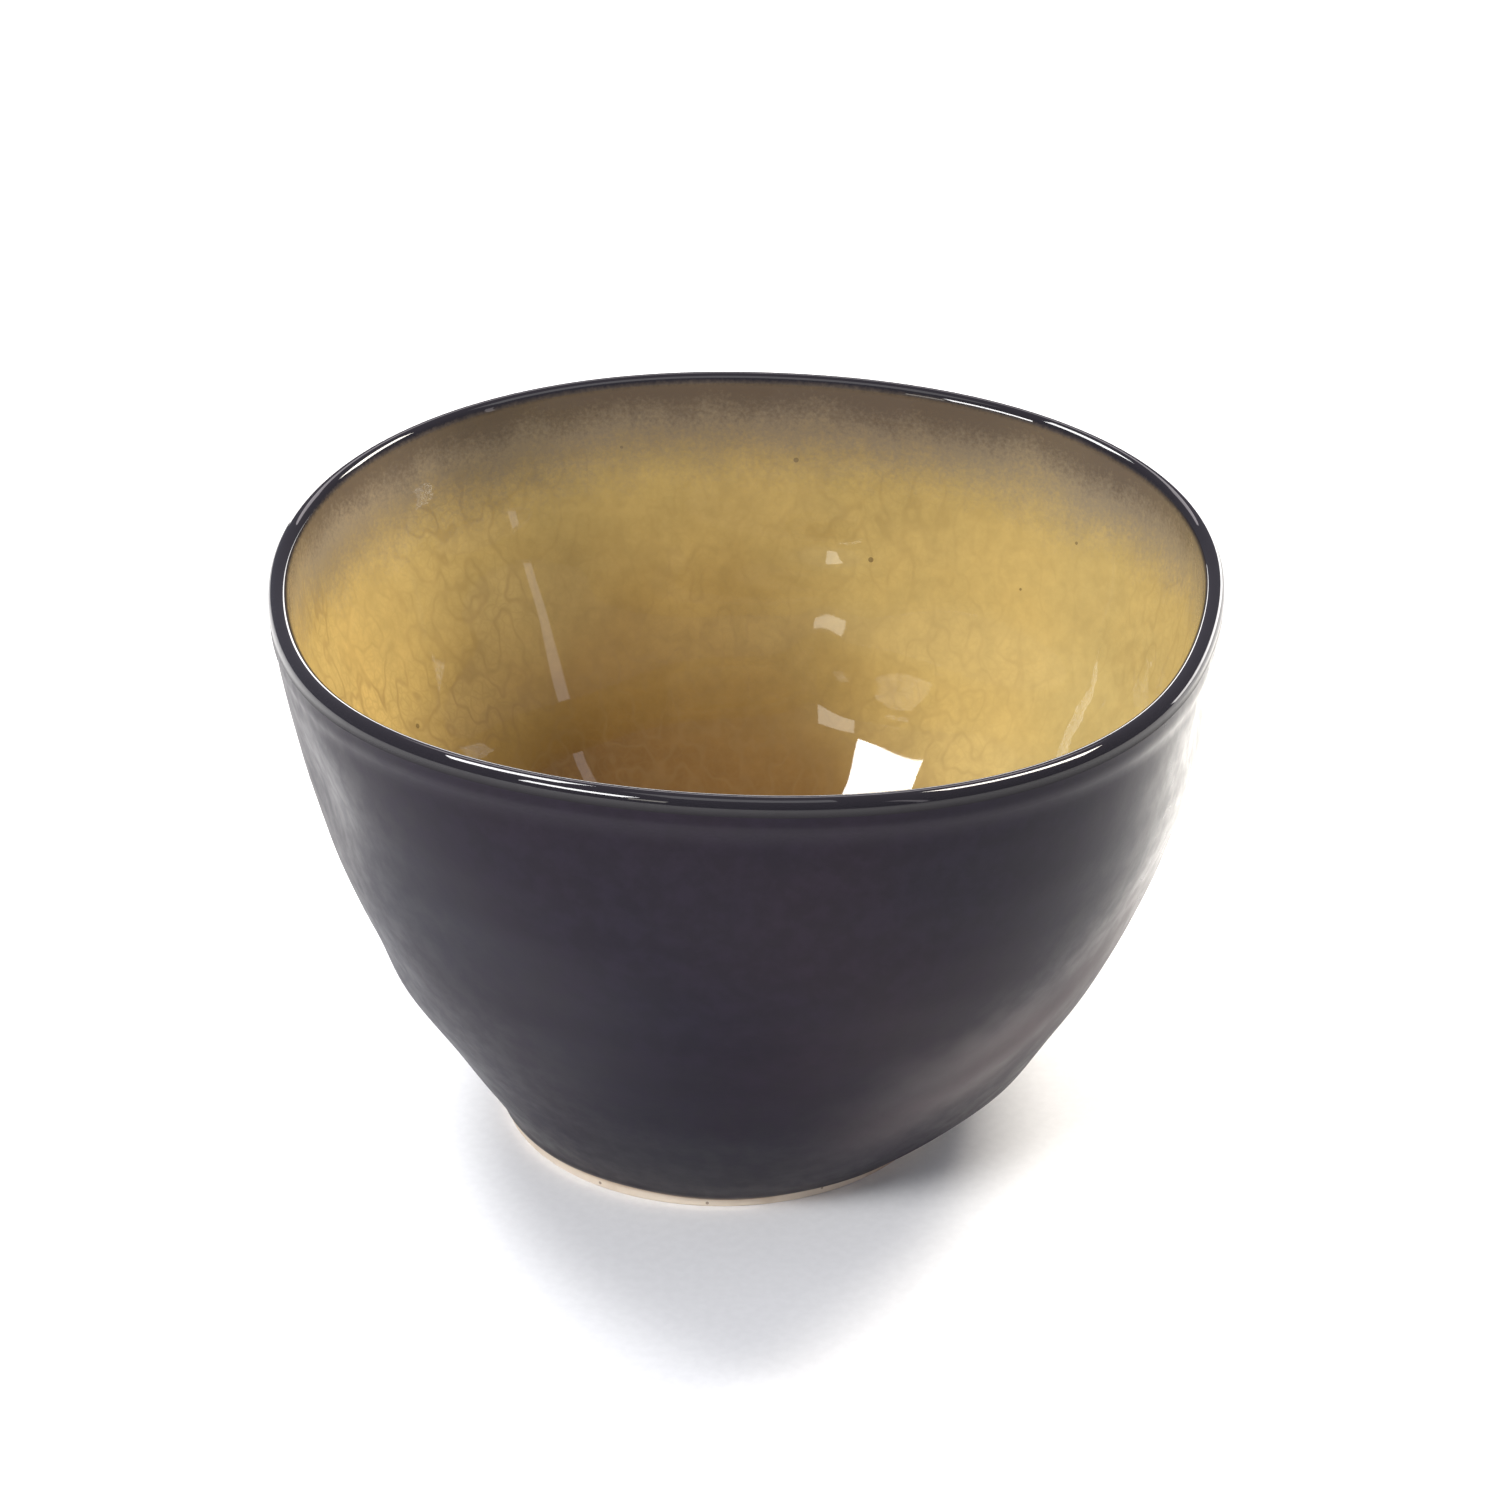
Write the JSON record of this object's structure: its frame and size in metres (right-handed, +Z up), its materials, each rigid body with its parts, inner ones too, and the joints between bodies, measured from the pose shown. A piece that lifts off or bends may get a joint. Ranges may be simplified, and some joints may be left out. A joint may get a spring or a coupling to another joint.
{
  "type": "bowl",
  "caption": "Small hand-formed stoneware bowl on a low foot ring, with an uneven rounded lip, a dark satin glaze outside and a crackled ochre glaze inside.",
  "frame": {"origin": "on the surface that the bowl stands on, under the middle of the rim's bounding box", "axes": "+Z up, out of the open mouth; +X to the viewer's right and -Y to the front, as the picture shows the bowl"},
  "size_m": [0.1376, 0.1365, 0.0889],
  "materials": {
    "dark_glaze": "satin aubergine-black glaze outside, glossy crackled ochre glaze inside and over the lip, bare cream clay on the foot ring"
  },
  "bodies": {
    "root": {"bowl": "dark_glaze"}
  },
  "joints": []
}
